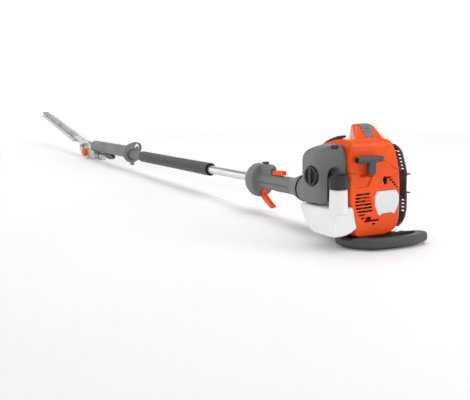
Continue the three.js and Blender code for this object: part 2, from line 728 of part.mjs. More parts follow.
// ---------------------------------------------------------------- throttle handle
function handleBody() {
  const profile = [
    [HANDLE_START, 0], [HANDLE_START, 31], [230, 30], [242, 26], [255, 22.5], [268, 21], [390, 21],
    [396, 24], [399, 41], [402, 44], [425, 44], [438, 38], [452, 27], [462, 18],
    [HANDLE_END, 15], [HANDLE_END, 0],
  ];
  const body = turned('x', profile, 24);
  const place = body.attributes.position;
  for (let i = 0; i < place.count; i += 1) {
    const narrow = THREE.MathUtils.smoothstep(place.getX(i), 240, 270);
    place.setY(i, place.getY(i) * (1 - 0.16 * narrow));
    place.setZ(i, place.getZ(i) - 2 * narrow);
  }
  const hood = prism('y', [[352, 10], [352, 34, 3], [358, 40, 6], [380, 42, 6], [402, 42], [402, 10]], -9, 9);
  return cut(
    join(body, hood),
    rod('x', TUBE_RADIUS + FIT, 200, 490),
    prism('y', TRIGGER_SLOT, -7.5, 7.5),
    box(298, 381, -6.5, 6.5, 8, 29.5),
    ...gripGrooves(1),
    ...gripGrooves(-1),
  );
}

// Grooves that outline a panel low on one side of the grip.
function gripGrooves(side) {
  const depths = [[-4.4, -2, 15.2], [-16.4, -14, 12.9]];
  const runs = depths.map(([low, high, inner]) => (
    box(272, 396, Math.min(side * inner, side * 40), Math.max(side * inner, side * 40), low, high)
  ));
  const end = box(270, 272.4, Math.min(side * 14, side * 40), Math.max(side * 14, side * 40), -16.4, -2);
  return [...runs, end];
}

const TRIGGER_SLOT = [[338, -60], [338, -13], [418, -13], [418, -60]];

function handleHalf(side) {
  const half = side > 0 ? box(200, 500, GAP / 2, 60, -80, 80) : box(200, 500, -60, -GAP / 2, -80, 80);
  return common(handleBody(), half);
}

function throttleTrigger() {
  const blade = prism('y', [
    [398, -15, 3], [410, -16, 4], [411, -32, 6], [402, -46, 6], [380, -59, 10], [356, -70, 3],
    [348, -66, 3], [352, -61, 3], [376, -48, 10], [392, -36, 6],
  ].reverse(), -6, 6);
  return blade;
}

function throttleLockout() {
  return prism('y', [
    [304, 20, 2], [304, 31, 3], [318, 31.5, 3], [352, 28, 6], [377, 25, 2], [377, 16, 2], [362, 16, 2],
  ], -5.5, 5.5);
}

function stopSwitch() {
  return prism('y', [[378, 43], [378, 46, 2], [383, 48, 2], [391, 48, 2], [396, 46, 2], [396, 43]], -5, 5);
}

// ---------------------------------------------------------------- gear head on the pole
const LAY_Z = HINGE_Z;
const GEAR_X = HINGE_X - 42;

function gearHousing() {
  const front = HINGE_X - 29;
  const collar = rod('x', 21, SLEEVE_END + GAP, front);
  const lower = prism('x', [[-20, -46, 10], [20, -46, 10], [22, -10, 6], [-22, -10, 6]], HINGE_X - 104, front);
  const cheek = moved(rod('y', 26, -36, -23, 24), HINGE_X, 0, HINGE_Z);
  const arm = box(HINGE_X - 67, HINGE_X, -36, -18, HINGE_Z - 22, HINGE_Z + 22);
  const swing = moved(rod('y', HINGE_RADIUS + 1.2, -22.5, 60, 28), HINGE_X, 0, HINGE_Z);
  return cut(
    join(collar, lower, cheek, arm, lockBarrel(), greaseNipple()),
    swing,
    moved(rod('y', 5 + FIT, -60, 0, 14), HINGE_X, 0, HINGE_Z),
    rod('x', TUBE_RADIUS + FIT, HINGE_X - 112, TUBE_END + 1),
    rod('x', 6, TUBE_END - 8, HINGE_X, 14),
    box(GEAR_X - 1, GEAR_X + 9, -14, 14, LAY_Z - 14, 12),
    moved(rod('x', 4 + FIT, GEAR_X - 14, HINGE_X, 14), 0, 0, LAY_Z),
    moved(rod('x', SLEEVE_RADIUS + 0.5, HINGE_X - 200, SLEEVE_END, 24), 0, 0, SLEEVE_LIFT),
  );
}

function driveGear() {
  return gear('x', 10, 12, SHAFT_RADIUS + FIT, GEAR_X, GEAR_X + 8);
}

function layShaft() {
  const shaft = join(
    rod('x', 4, GEAR_X - 12, GEAR_X + 20, 14),
    gear('x', 10, 12, 0, GEAR_X, GEAR_X + 8),
    rod('x', 6.5, GEAR_X + 16, GEAR_X + 21, 12),
  );
  return moved(shaft, 0, 0, LAY_Z);
}

// Round barrel of the tilt lock, cast on to the housing.
function lockBarrel() {
  return moved(rod('x', 14.5, 1594, HINGE_X - 100, 20), 0, 0, -33);
}

function adjustingLever() {
  return prism('y', [
    [1592, -17.5, 2], [1592, -23, 2], [1556, -27, 8], [1526, -35, 8], [1500, -36, 8], [1478, -29, 7],
    [1478, -20, 6],
    [1500, -17, 6], [1556, -16.8, 4],
  ].reverse(), -8, 8);
}

function greaseNipple() {
  const nipple = turned('z', [[0, 0], [0, 3], [12, 3], [14, 6.5], [21, 6.5], [24, 3], [24, 0]], 12);
  return moved(nipple, GEAR_X + 5, 16, 4);
}

function hingePin() {
  return join(rod('y', 5, -44, 21.5, 14), rod('y', 9, -44, -36 - GAP, 6));
}

function releaseKnob() {
  return turned('y', [[22, 0], [22, 17], [33, 17], [36, 14], [36, 0]], 20);
}

// ---------------------------------------------------------------- cutter head, along the blade
function headHousing() {
  const boss = rod('y', HINGE_RADIUS, -22, 21.5, 28);
  const arm = prism('z', [
    [0, -21], [26, -21], [44, -26, 8], [96, -20, 8], [96, 20, 8], [44, 26, 8], [26, 21], [0, 21],
  ], -15, KNIFE_Z - 0.5);
  const window = [[0, 0]];
  for (let angle = 100; angle <= 300; angle += 20) {
    window.push([40 * Math.cos(angle * DEG), 40 * Math.sin(angle * DEG)]);
  }
  return cut(
    join(boss, arm),
    rod('y', 5 + FIT, -40, 40, 14),
    rod('y', 18, -9, 9, 20),
    prism('y', window, -9, 9),
    moved(rod('z', 21, -40, 4, 20), 52, 0, 0),
    moved(rod('z', 7, 0, 20, 14), 52, 0, 0),
    box(16, 40, -5, 5, -10, 2),
    ...BLADE_BOLTS.slice(0, 1).map((x) => moved(rod('z', 3.3, -30, 30, 12), x, 0, 0)),
  );
}

function hingeGear() {
  return gear('y', 15, 16, 5 + FIT, -7, 7);
}

function camGear() {
  const wheel = gear('z', 19, 20, 0, -11, -4);
  return moved(join(wheel, rod('z', 6.7, -5, 14, 14)), 52, 0, 0);
}

function gearCover() {
  return moved(rod('z', 25, -19, -15 - GAP, 20), 52, 0, 0);
}

// One knife: a bar with swept teeth on both edges and slots for the bolts.
function knife(z) {
  const teeth = Math.floor((KNIFE_END - KNIFE_START - 70) / KNIFE_PITCH);
  const upper = [];
  for (let i = 0; i < teeth; i += 1) {
    const x = KNIFE_START + 74 + i * KNIFE_PITCH;
    upper.push([x - 9, BAR_HALF_WIDTH], [x - 4, TOOTH_REACH], [x + 4, TOOTH_REACH], [x + 7, BAR_HALF_WIDTH]);
  }
  const lower = upper.map(([x, y]) => [x, -y]).reverse();
  const nose = TIP_START - KNIFE_STROKE - 1;
  const shape = [[nose - 8, BAR_HALF_WIDTH], [nose, 6], [nose, -6], [nose - 8, -BAR_HALF_WIDTH]];
  const root = BAR_HALF_WIDTH - 2;
  const points = [[KNIFE_START, root], ...upper, ...shape, ...lower, [KNIFE_START, -root]];
  const reach = KNIFE_STROKE + 4;
  const slots = BLADE_BOLTS.map((x) => box(x - reach, x + reach, -3.4, 3.4, z - 1, z + KNIFE_THICKNESS + 1));
  return cut(prism('z', points.reverse(), z, z + KNIFE_THICKNESS), ...slots);
}

const UPPER_KNIFE_Z = KNIFE_Z + KNIFE_THICKNESS + GAP;
const BAR_Z = UPPER_KNIFE_Z + KNIFE_THICKNESS + GAP;
const BAR_THICKNESS = 6;

function guideBar() {
  const bar = prism('z', [
    [66, -BAR_HALF_WIDTH + 1, 6], [TIP_START, -BAR_HALF_WIDTH + 1, 6],
    [TIP_START, BAR_HALF_WIDTH - 1, 6], [66, BAR_HALF_WIDTH - 1, 6],
  ], BAR_Z, BAR_Z + BAR_THICKNESS, 1);
  return join(bar, ...BLADE_BOLTS.map((x) => bladeBolt(x)));
}

function rootShield() {
  const plate = prism('z', [
    [54, -20, 6], [180, -20, 10], [180, 20, 10], [54, 20, 6],
  ], BAR_Z + BAR_THICKNESS + GAP, BAR_Z + 9);
  return cut(plate, moved(rod('z', 6.5, 0, 40, 12), BLADE_BOLTS[0], 0, 0));
}

function tipGuard() {
  return prism('z', [
    [TIP_START + GAP, -15, 5], [KNIFE_END + 6, -11, 5], [KNIFE_END + 6, 11, 5], [TIP_START + GAP, 15, 5],
  ], KNIFE_Z, BAR_Z + BAR_THICKNESS);
}

// A bolt through both knives, drawn as one solid with the bar that it clamps.
function bladeBolt(x) {
  const top = BAR_Z + BAR_THICKNESS;
  const atRoot = x === BLADE_BOLTS[0];
  const shank = rod('z', 3, atRoot ? -10 : KNIFE_Z - 5, top + 1, 12);
  const cap = rod('z', 6, top - 1, top + (atRoot ? 2 : 7), 6);
  const nut = rod('z', 5.5, KNIFE_Z - 5, KNIFE_Z - GAP, 6);
  return moved(atRoot ? join(shank, cap) : join(shank, cap, nut), x, 0, 0);
}

// ---------------------------------------------------------------- assembly
node('crankcase', crankcase(), CAST_ALUMINIUM, engine);
node('crankshaft', crankshaft(), STEEL);
node('cylinder', cylinder(), CAST_ALUMINIUM, engine);
node('piston', piston(), ALUMINIUM, engine);
node('flywheel', flywheel(), CAST_ALUMINIUM);
node('recoil_pulley', recoilPulley(), BLACK_PLASTIC);
node('recoil_spring', recoilSpring(), STEEL);
node('ignition_module', ignitionModule(), BLACK_PLASTIC);
node('spark_plug', sparkPlug(), CERAMIC, engine);
node('spark_plug_boot', sparkPlugBoot(), RUBBER, engine);
node('carburettor', carburettor(), ALUMINIUM, engine);
node('muffler', muffler(), STEEL, engine);
node('starter_cover', starterCover(), ORANGE);
node('label_plate', labelPlate(), PLATE_WHITE);
node('top_cover', topCover(), ORANGE);
node('top_insert', topInsert(), DARK_PLASTIC);
node('starter_handle', starterHandle(), DARK_PLASTIC);
node('filter_base', filterBase(), GREY_PLASTIC);
node('filter_element', filterElement(), FELT);
node('filter_cover', filterCover(), GREY_PLASTIC);
node('filter_knob', filterKnob(), DARK_PLASTIC);
node('choke_lever', chokeLever(), BLACK_PLASTIC);
node('fuel_tank', fuelTank(), TANK_WHITE);
node('fuel_cap', fuelCap(), DARK_PLASTIC);
node('muffler_guard', mufflerGuard(), DARK_PLASTIC);
node('clutch_shoes', clutchShoes(), STEEL);
node('clutch_drum', clutchDrum(), STEEL);
node('clutch_cover', clutchCover(), GREY_PLASTIC);
node('cover_ring', pipe('x', 33, TUBE_RADIUS + FIT, RING_X, HANDLE_START - GAP, 24), RUBBER);
node('main_tube', mainTube(), ALUMINIUM);
node('drive_shaft', driveShaft(), STEEL);
BUSH_PLACES.forEach((x, i) => node(`shaft_bush_${i + 1}`, shaftBush(x), BLACK_PLASTIC));
node('handle_left', handleHalf(1), GREY_PLASTIC);
node('handle_right', handleHalf(-1), GREY_PLASTIC);
node('throttle_trigger', throttleTrigger(), ORANGE);
node('throttle_lockout', throttleLockout(), ORANGE);
node('stop_switch', stopSwitch(), BLACK_PLASTIC);
node('foam_grip', pipe('x', FOAM_RADIUS, TUBE_RADIUS + FIT, FOAM_START, FOAM_END), FOAM);
node('spacer_tube', pipe('x', 15.5, TUBE_RADIUS + FIT, FOAM_END + GAP, HANGER_X + 4 - GAP), GREY_PLASTIC);
node('hanger_clamp', hangerClamp(), DARK_PLASTIC);
node('hanger_bolt', hangerBolt(), STEEL);
node('pole_sleeve', poleSleeve(), GREY_PLASTIC);
node('gear_housing', gearHousing(), CAST_ALUMINIUM);
node('drive_gear', driveGear(), STEEL);
node('lay_shaft', layShaft(), STEEL);
node('adjusting_lever', adjustingLever(), BLACK_PLASTIC);

node('head_housing', headHousing(), CAST_ALUMINIUM, head);
node('hinge_pin', hingePin(), BLACK_PLASTIC, head);
node('release_knob', releaseKnob(), ORANGE, head);
node('hinge_gear', hingeGear(), STEEL, head);
node('cam_gear', camGear(), STEEL, head);
node('gear_cover', gearCover(), CAST_ALUMINIUM, head);
node('lower_knife', knife(KNIFE_Z), STEEL, head);
node('upper_knife', knife(UPPER_KNIFE_Z), STEEL, head);
node('guide_bar', guideBar(), ALUMINIUM, head);
node('root_shield', rootShield(), CAST_ALUMINIUM, head);
node('tip_guard', tipGuard(), BLACK_PLASTIC, head);

node('impact_guard', impactGuard(), DARK_PLASTIC, part);

export default part;
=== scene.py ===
"""Looks of a petrol pole hedge trimmer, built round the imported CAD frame."""
import json
import math

import bpy
from mathutils import Matrix, Vector, noise


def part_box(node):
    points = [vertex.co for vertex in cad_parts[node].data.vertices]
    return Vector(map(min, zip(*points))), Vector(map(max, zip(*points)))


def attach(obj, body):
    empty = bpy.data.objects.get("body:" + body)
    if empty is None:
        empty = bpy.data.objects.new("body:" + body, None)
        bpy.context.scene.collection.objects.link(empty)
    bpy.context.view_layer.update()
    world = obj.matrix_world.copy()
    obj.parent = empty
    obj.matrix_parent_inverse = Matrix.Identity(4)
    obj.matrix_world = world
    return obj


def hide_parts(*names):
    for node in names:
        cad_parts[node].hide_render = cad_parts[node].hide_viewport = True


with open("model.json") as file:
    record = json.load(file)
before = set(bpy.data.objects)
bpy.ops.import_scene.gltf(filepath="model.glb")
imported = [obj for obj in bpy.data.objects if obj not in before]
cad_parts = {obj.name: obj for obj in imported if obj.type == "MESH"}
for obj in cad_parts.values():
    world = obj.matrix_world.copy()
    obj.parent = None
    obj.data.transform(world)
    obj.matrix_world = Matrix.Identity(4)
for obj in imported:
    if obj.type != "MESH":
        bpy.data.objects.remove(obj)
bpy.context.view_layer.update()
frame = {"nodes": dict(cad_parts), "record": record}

MM = 0.001

# ------------------------------------------------------------------ where things are
NODES = frame["nodes"]
JOINTS = {joint["name"]: joint for joint in frame["record"]["behaviour"]["joints"]}
SLOT_OF = {row["node"]: row["material_slot"] for row in frame["record"]["subparts"]}
BODY_OF = {
    node: body
    for body, members in frame["record"]["behaviour"]["bodies"].items()
    for node in members
}

AXIS_POINT = Vector(JOINTS["crank_spin"]["pos_m"])
AXIS = Vector(JOINTS["crank_spin"]["axis"]).normalized()
SLOPE = -AXIS.z
LEVEL = AXIS.x
# Turns machine coordinates (X along the pole, Y left, Z up) into the row frame.
MACHINE = Matrix.Translation(AXIS_POINT) @ Matrix.Rotation(math.asin(SLOPE), 4, "Y")


def at(x, y, z):
    """A point given in the machine's own frame, in millimetres."""
    return MACHINE @ (Vector((x, y, z)) * MM)


def span(node):
    """Start, end and radius of a round CAD node along the pole, in millimetres."""
    low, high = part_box(node)
    radius = (high.y - low.y) / 2
    start = (low.x - AXIS_POINT.x + radius * SLOPE) / LEVEL
    end = (high.x - AXIS_POINT.x - radius * SLOPE) / LEVEL
    return start / MM, end / MM, radius / MM


# ------------------------------------------------------------------ camera, floor and light
CAMERA_PLACE = (-0.9937, 0.9295, 0.3540)
CAMERA_TURN = math.radians(31.2)
CAMERA_DROP = math.radians(10.8)
LENS = 50
SENSOR = 36
STAGE_REACH = 12
STAGE_HEIGHT = 6
STAGE_SIDES = 64
# Painted glow of the floor: its strength near the object and far away, reached between these distances in
# metres.
FLOOR_PAINTED_GLOW = (0.04, 0.6)
GLOW_DISTANCES = (0.8, 4.5)
WALL_GLOW = 0.55
SKY_STRENGTH = 0.26
# Name, place, target, size in metres and power in watts of each soft box.
SOFT_BOXES = [
    ("overhead", (0.3, -0.4, 2.2), (0.2, 0, 0), (2.4, 1.6), 34),
    ("rear_right", (-1.6, -1.5, 1.5), (0.1, 0, 0.1), (1.2, 1.2), 12),
    ("far_left", (1.4, 2.6, 1.6), (1.1, 0, 0.1), (1.6, 1.0), 12),
]


def make_camera():
    data = bpy.data.cameras.new("camera")
    data.lens = LENS
    data.sensor_width = SENSOR
    data.clip_start = 0.05
    data.clip_end = 60
    camera = bpy.data.objects.new("camera", data)
    bpy.context.scene.collection.objects.link(camera)
    forward = Vector((
        math.cos(CAMERA_TURN) * math.cos(CAMERA_DROP),
        -math.sin(CAMERA_TURN) * math.cos(CAMERA_DROP),
        -math.sin(CAMERA_DROP),
    ))
    camera.location = CAMERA_PLACE
    camera.rotation_mode = "QUATERNION"
    camera.rotation_quaternion = forward.to_track_quat("-Z", "Y")
    bpy.context.scene.camera = camera


def make_stage():
    """A pale floor and a pale round wall far behind it, so that every view has the same background."""
    sides = STAGE_SIDES
    angles = [2 * math.pi * i / sides for i in range(sides)]
    rim = [(STAGE_REACH * math.cos(angle), STAGE_REACH * math.sin(angle)) for angle in angles]
    floor = stage_mesh("floor", [(x, y, 0) for x, y in rim], [tuple(range(sides))])
    floor.data.materials.append(floor_material())
    wall_points = [(x, y, z) for z in (0, STAGE_HEIGHT) for x, y in rim]
    wall_faces = [(i, (i + 1) % sides, sides + (i + 1) % sides, sides + i) for i in range(sides)]
    wall = stage_mesh("backdrop", wall_points, wall_faces)
    wall.data.materials.append(backdrop_material())


def stage_mesh(name, points, faces):
    mesh = bpy.data.meshes.new(name)
    mesh.from_pydata(points, [], faces)
    thing = bpy.data.objects.new(name, mesh)
    bpy.context.scene.collection.objects.link(thing)
    return thing


def pale_material(name, scale, detail, low, high, rough):
    """A pale matt surface with faint clouding that also glows; the caller sets the glow's strength."""
    tree, shader, material = blank_material(name)
    colour = ramp(tree, noise_value(tree, scale, detail), [(0.35, (low,) * 3), (0.65, (high,) * 3)])
    tree.links.new(colour, shader.inputs["Base Color"])
    shader.inputs["Roughness"].default_value = rough
    shader.inputs["Emission Color"].default_value = (1, 1, 1, 1)
    return tree, shader, material


def floor_material():
    """The floor's painted glow rises away from the object, so that the floor brightens as a studio sweep does
    while shadows near the object stay dark.
    """
    tree, shader, material = pale_material("pale_floor", 1.4, 3, 0.9, 0.93, 0.6)
    shader.inputs["Specular IOR Level"].default_value = 0.1
    distance = tree.nodes.new("ShaderNodeVectorMath")
    distance.operation = "LENGTH"
    tree.links.new(place_vector(tree), distance.inputs[0])
    glow = spread(tree, distance.outputs["Value"], *FLOOR_PAINTED_GLOW, GLOW_DISTANCES)
    tree.links.new(glow, shader.inputs["Emission Strength"])
    return material


def backdrop_material():
    _, shader, material = pale_material("pale_backdrop", 0.2, 2, 0.88, 0.9, 0.8)
    shader.inputs["Emission Strength"].default_value = WALL_GLOW
    return material


def area_light(name, place, target, size, power):
    data = bpy.data.lights.new(name, "AREA")
    data.shape = "RECTANGLE"
    data.size, data.size_y = size
    data.energy = power
    light = bpy.data.objects.new(name, data)
    bpy.context.scene.collection.objects.link(light)
    light.location = place
    light.rotation_mode = "QUATERNION"
    light.rotation_quaternion = (Vector(target) - Vector(place)).to_track_quat("-Z", "Y")


def make_light():
    world = bpy.data.worlds.new("studio")
    world.use_nodes = True
    background = world.node_tree.nodes["Background"]
    background.inputs["Color"].default_value = (1, 1, 1, 1)
    background.inputs["Strength"].default_value = SKY_STRENGTH
    bpy.context.scene.world = world
    bpy.context.scene.view_settings.view_transform = "Standard"
    for box in SOFT_BOXES:
        area_light(*box)


# ------------------------------------------------------------------ material tools
def blank_material(name):
    material = bpy.data.materials.new(name)
    material.use_nodes = True
    tree = material.node_tree
    return tree, tree.nodes["Principled BSDF"], material


def place_vector(tree, stretch=(1, 1, 1)):
    """The surface point in metres in the part's own frame, stretched along its axes."""
    place = tree.nodes.new("ShaderNodeTexCoord")
    mapping = tree.nodes.new("ShaderNodeMapping")
    mapping.inputs["Scale"].default_value = stretch
    tree.links.new(place.outputs["Object"], mapping.inputs["Vector"])
    return mapping.outputs["Vector"]


def noise_value(tree, scale, detail=2, stretch=(1, 1, 1)):
    texture = tree.nodes.new("ShaderNodeTexNoise")
    texture.inputs["Scale"].default_value = scale
    texture.inputs["Detail"].default_value = detail
    tree.links.new(place_vector(tree, stretch), texture.inputs["Vector"])
    return texture.outputs["Fac"]


def cell_value(tree, scale):
    texture = tree.nodes.new("ShaderNodeTexVoronoi")
    texture.inputs["Scale"].default_value = scale
    tree.links.new(place_vector(tree), texture.inputs["Vector"])
    return texture.outputs["Distance"]


def ramp(tree, value, stops):
    """Colours between the stops, each (position, colour)."""
    node = tree.nodes.new("ShaderNodeValToRGB")
    elements = node.color_ramp.elements
    for element, (position, colour) in zip(elements, stops):
        element.position = position
        element.color = (*colour, 1)
    tree.links.new(value, node.inputs["Fac"])
    return node.outputs["Color"]


def spread(tree, value, low, high, source=(0.3, 0.7)):
    """Maps a noise value on to a range."""
    node = tree.nodes.new("ShaderNodeMapRange")
    node.inputs["From Min"].default_value = source[0]
    node.inputs["From Max"].default_value = source[1]
    node.inputs["To Min"].default_value = low
    node.inputs["To Max"].default_value = high
    tree.links.new(value, node.inputs["Value"])
    return node.outputs["Result"]


def mixed(tree, factor, first, second):
    """Blends a colour socket towards a fixed colour."""
    node = tree.nodes.new("ShaderNodeMix")
    node.data_type = "RGBA"
    tree.links.new(factor, node.inputs["Factor"])
    tree.links.new(first, node.inputs["A"])
    node.inputs["B"].default_value = (*second, 1)
    return node.outputs["Result"]


def bumped(tree, shader, heights):
    """Chains bumps, each (value, strength, depth in metres), into the shader's normal."""
    normal = None
    for value, strength, depth in heights:
        node = tree.nodes.new("ShaderNodeBump")
        node.inputs["Strength"].default_value = strength
        node.inputs["Distance"].default_value = depth
        tree.links.new(value, node.inputs["Height"])
        if normal is not None:
            tree.links.new(normal, node.inputs["Normal"])
        normal = node.outputs["Normal"]
    tree.links.new(normal, shader.inputs["Normal"])


def edge_wear(tree, start, end):
    """1 on sharp outer edges, broken up by noise, and 0 elsewhere."""
    geometry = tree.nodes.new("ShaderNodeNewGeometry")
    edges = spread(tree, geometry.outputs["Pointiness"], 0, 1, (start, end))
    patches = spread(tree, noise_value(tree, 60, 4), 0, 1, (0.48, 0.62))
    product = tree.nodes.new("ShaderNodeMath")
    product.operation = "MULTIPLY"
    tree.links.new(edges, product.inputs[0])
    tree.links.new(patches, product.inputs[1])
    return product.outputs["Value"]


def moulded(name, base, worn, rough, grain, gloss=0.0, shine=0.35):
    """Moulded nylon: faint flow marks, fine spark-eroded grain and paler rubbed edges."""
    tree, shader, material = blank_material(name)
    darker = tuple(channel * 0.86 for channel in base)
    paler = tuple(min(1, channel * 1.1) for channel in base)
    colour = ramp(tree, noise_value(tree, 9, 4), [(0.36, darker), (0.64, paler)])
    colour = mixed(tree, edge_wear(tree, 0.53, 0.6), colour, worn)
    tree.links.new(colour, shader.inputs["Base Color"])
    rub = spread(tree, noise_value(tree, 35, 5), rough - 0.06, rough + 0.09)
    tree.links.new(rub, shader.inputs["Roughness"])
    shader.inputs["Specular IOR Level"].default_value = shine
    shader.inputs["Coat Weight"].default_value = gloss
    shader.inputs["Coat Roughness"].default_value = 0.14
    fine = noise_value(tree, 1500, 2)
    waves = noise_value(tree, 22, 2)
    bumped(tree, shader, [(waves, 0.04, 0.0004), (fine, grain, 0.00004)])
    return material


def tank_material():
    """Blow-moulded polyethylene: milky, slightly see-through, with a waxy sheen."""
    tree, shader, material = blank_material("tank_plastic")
    colour = ramp(tree, noise_value(tree, 14, 3), [(0.35, (0.77, 0.78, 0.79)), (0.65, (0.84, 0.84, 0.84))])
    tree.links.new(colour, shader.inputs["Base Color"])
    rough = spread(tree, noise_value(tree, 40, 4), 0.3, 0.45)
    tree.links.new(rough, shader.inputs["Roughness"])
    shader.inputs["Subsurface Weight"].default_value = 0.25
    shader.inputs["Subsurface Radius"].default_value = (0.006, 0.006, 0.007)
    bumped(tree, shader, [(noise_value(tree, 30, 3), 0.2, 0.0007), (noise_value(tree, 900, 2), 0.1, 0.0001)])
    return material


def plate_material():
    """Satin metallised foil of the blank name plate."""
    tree, shader, material = blank_material("name_plate")
    stretch = (1, 1, 14)
    stops = [(0.35, (0.72, 0.73, 0.76)), (0.65, (0.78, 0.79, 0.81))]
    colour = ramp(tree, noise_value(tree, 90, 3, stretch), stops)
    tree.links.new(colour, shader.inputs["Base Color"])
    rough = spread(tree, noise_value(tree, 220, 3, stretch), 0.26, 0.4)
    tree.links.new(rough, shader.inputs["Roughness"])
    shader.inputs["Metallic"].default_value = 0.15
    bumped(tree, shader, [(noise_value(tree, 700, 2, stretch), 0.08, 0.00006)])
    return material


def metal(name, base, dark_share, rough, stretch, scale, depth):
    """Bare metal with a drawn, ground or cast grain, depending on how its noise is stretched."""
    tree, shader, material = blank_material(name)
    dark = tuple(channel * dark_share for channel in base)
    colour = ramp(tree, noise_value(tree, 26, 5), [(0.32, dark), (0.6, base)])
    tree.links.new(colour, shader.inputs["Base Color"])
    shader.inputs["Metallic"].default_value = 1
    grain = noise_value(tree, scale, 3, stretch)
    tree.links.new(spread(tree, grain, rough - 0.08, rough + 0.12), shader.inputs["Roughness"])
    bumped(tree, shader, [(noise_value(tree, 45, 2), 0.08, 0.0004), (grain, 0.25, depth)])
    return material


def rubber_material():
    tree, shader, material = blank_material("rubber")
    stops = [(0.35, (0.01, 0.01, 0.011)), (0.65, (0.022, 0.022, 0.023))]
    colour = ramp(tree, noise_value(tree, 50, 4), stops)
    tree.links.new(colour, shader.inputs["Base Color"])
    shader.inputs["Specular IOR Level"].default_value = 0.12
    rough = spread(tree, noise_value(tree, 80, 3), 0.6, 0.8)
    tree.links.new(rough, shader.inputs["Roughness"])
    bumped(tree, shader, [(noise_value(tree, 1100, 2), 0.25, 0.0001)])
    return material


def foam_material():
    """Closed-cell foam: matt, with fine pores and a few larger pits."""
    tree, shader, material = blank_material("foam")
    colour = ramp(tree, noise_value(tree, 70, 5), [(0.3, (0.035, 0.036, 0.037)), (0.7, (0.058, 0.059, 0.06))])
    tree.links.new(colour, shader.inputs["Base Color"])
    shader.inputs["Roughness"].default_value = 0.92
    shader.inputs["Sheen Weight"].default_value = 0.2
    shader.inputs["Sheen Roughness"].default_value = 0.5
    bumped(tree, shader, [(cell_value(tree, 1400), 0.3, 0.0002), (noise_value(tree, 160, 4), 0.08, 0.0004)])
    return material


def felt_material():
    tree, shader, material = blank_material("felt")
    colour = ramp(tree, noise_value(tree, 120, 6), [(0.3, (0.42, 0.32, 0.18)), (0.7, (0.66, 0.54, 0.36))])
    tree.links.new(colour, shader.inputs["Base Color"])
    shader.inputs["Roughness"].default_value = 0.95
    shader.inputs["Sheen Weight"].default_value = 0.5
    bumped(tree, shader, [(noise_value(tree, 1600, 4, (1, 0.2, 1)), 0.8, 0.0003)])
    return material


def ceramic_material():
    tree, shader, material = blank_material("plug_ceramic")
    colour = ramp(tree, noise_value(tree, 60, 4), [(0.3, (0.8, 0.79, 0.75)), (0.7, (0.9, 0.89, 0.86))])
    tree.links.new(colour, shader.inputs["Base Color"])
    rough = spread(tree, noise_value(tree, 90, 3), 0.12, 0.24)
    tree.links.new(rough, shader.inputs["Roughness"])
    bumped(tree, shader, [(noise_value(tree, 400, 2), 0.05, 0.0001)])
    return material


ORANGE = (0.92, 0.086, 0.002)
ORANGE_WORN = (0.9, 0.19, 0.02)
GREY = (0.17, 0.171, 0.173)
GREY_WORN = (0.34, 0.34, 0.34)
DARK = (0.068, 0.069, 0.071)
DARK_WORN = (0.2, 0.2, 0.2)
BLACK = (0.022, 0.022, 0.024)
BLACK_WORN = (0.08, 0.08, 0.08)
ALONG_POLE = (0.02, 1, 1)
ACROSS_BLADE = (1, 0.05, 1)
ACROSS_KNIFE = (1, 0.04, 1)
ALONG_BAR = (0.03, 1, 1)
EVENLY = (1, 1, 1)
MOULDED = {
    "orange_plastic": {
        "base": ORANGE, "worn": ORANGE_WORN, "rough": 0.3, "grain": 0.05, "gloss": 0.12, "shine": 0.2,
    },
    "grey_plastic": {"base": GREY, "worn": GREY_WORN, "rough": 0.48, "grain": 0.3},
    "dark_plastic": {"base": DARK, "worn": DARK_WORN, "rough": 0.46, "grain": 0.35},
    "black_plastic": {"base": BLACK, "worn": BLACK_WORN, "rough": 0.34, "grain": 0.2},
}
METALS = {
    "tube_aluminium": {
        "base": (0.72, 0.72, 0.73), "dark_share": 0.92, "rough": 0.3,
        "stretch": ALONG_POLE, "scale": 900, "depth": 0.00004,
    },
    "cast_aluminium": {
        "base": (0.6, 0.6, 0.61), "dark_share": 0.75, "rough": 0.42,
        "stretch": EVENLY, "scale": 700, "depth": 0.00005,
    },
    "steel": {
        "base": (0.66, 0.66, 0.67), "dark_share": 0.75, "rough": 0.26,
        "stretch": ACROSS_BLADE, "scale": 700, "depth": 0.00006,
    },
    "bar_steel": {
        "base": (0.5, 0.5, 0.51), "dark_share": 0.75, "rough": 0.34,
        "stretch": ALONG_BAR, "scale": 900, "depth": 0.00005,
    },
    "knife_steel": {
        "base": (0.62, 0.62, 0.63), "dark_share": 0.9, "rough": 0.22,
        "stretch": ACROSS_KNIFE, "scale": 900, "depth": 0.00004,
    },
}


def make_materials():
    materials = {
        "tank_plastic": tank_material(),
        "name_plate": plate_material(),
        "rubber": rubber_material(),
        "foam": foam_material(),
        "felt": felt_material(),
        "plug_ceramic": ceramic_material(),
    }
    for name, facts in MOULDED.items():
        materials[name] = moulded(name, **facts)
    for name, facts in METALS.items():
        materials[name] = metal(name, **facts)
    return materials


# ------------------------------------------------------------------ finishing the CAD nodes
LOOKS_LIKE = {
    "guide_bar": "bar_steel",
    "lower_knife": "knife_steel",
    "upper_knife": "knife_steel",
}
# Moulded and cast nodes whose edges are melted round: voxel in millimetres and number of smoothing passes.
SOFTENED = {
    "starter_cover": (1.1, 5),
    "top_cover": (1.1, 5),
    "filter_cover": (1.0, 6),
    "filter_base": (1.0, 4),
    "fuel_tank": (1.2, 10),
    "impact_guard": (1.5, 8),
    "muffler_guard": (1.1, 3),
    "handle_left": (0.9, 6),
    "handle_right": (0.9, 6),
    "hanger_clamp": (0.7, 4),
    "starter_handle": (0.7, 6),
    "gear_housing": (0.8, 4),
    "head_housing": (0.8, 4),
    "adjusting_lever": (0.7, 6),
    "throttle_trigger": (0.7, 5),
    "throttle_lockout": (0.5, 4),
    "stop_switch": (0.5, 4),
    "filter_knob": (0.6, 3),
    "fuel_cap": (0.6, 2),
    "top_insert": (0.5, 3),
    "choke_lever": (0.4, 3),
    "tip_guard": (0.6, 5),
}
EDGE_ROUNDING = 0.35 * MM
SHARP_ANGLE = math.radians(32)
